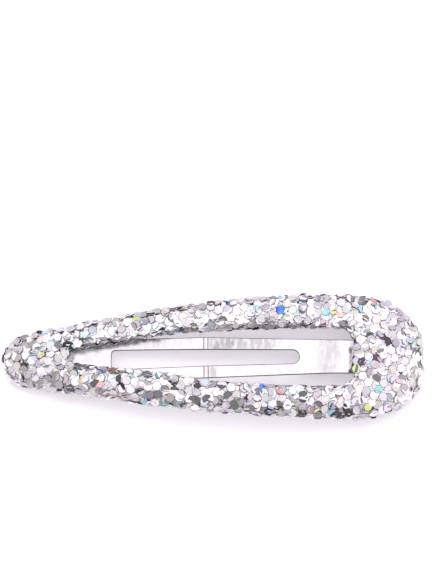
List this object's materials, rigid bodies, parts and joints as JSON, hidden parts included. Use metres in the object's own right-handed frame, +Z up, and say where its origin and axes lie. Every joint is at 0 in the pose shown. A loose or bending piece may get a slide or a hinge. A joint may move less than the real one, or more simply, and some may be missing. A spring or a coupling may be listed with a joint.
{
  "type": "snap hair clip",
  "caption": "Snap hair clip: a bowed steel teardrop ring in a padded hex-glitter sleeve, with a slotted, creased steel tongue that snaps shut under its narrow tip.",
  "frame": {"origin": "bottom centre of the bounding box, on the surface that the clip rests on", "axes": "+X to the wide end, -X to the narrow tip, +Y across, +Z up through the glitter face"},
  "size_m": [0.0516, 0.0154, 0.0055],
  "materials": {
    "glitter": "padded coated fabric covered in silver holographic hexagon flakes",
    "ring_steel": "plain sheet steel",
    "tongue_steel": "bright nickel-plated sheet steel"
  },
  "bodies": {
    "frame": {"steel_ring": "ring_steel", "glitter_sleeve": "glitter"},
    "tongue": {"tongue": "tongue_steel"}
  },
  "joints": [
    {"name": "tongue_hinge", "type": "hinge", "parent": "frame", "child": "tongue", "pos_m": [0.01733, 0, 0.00232], "axis": [0, -1, 0], "range_deg": [0, 20]}
  ]
}
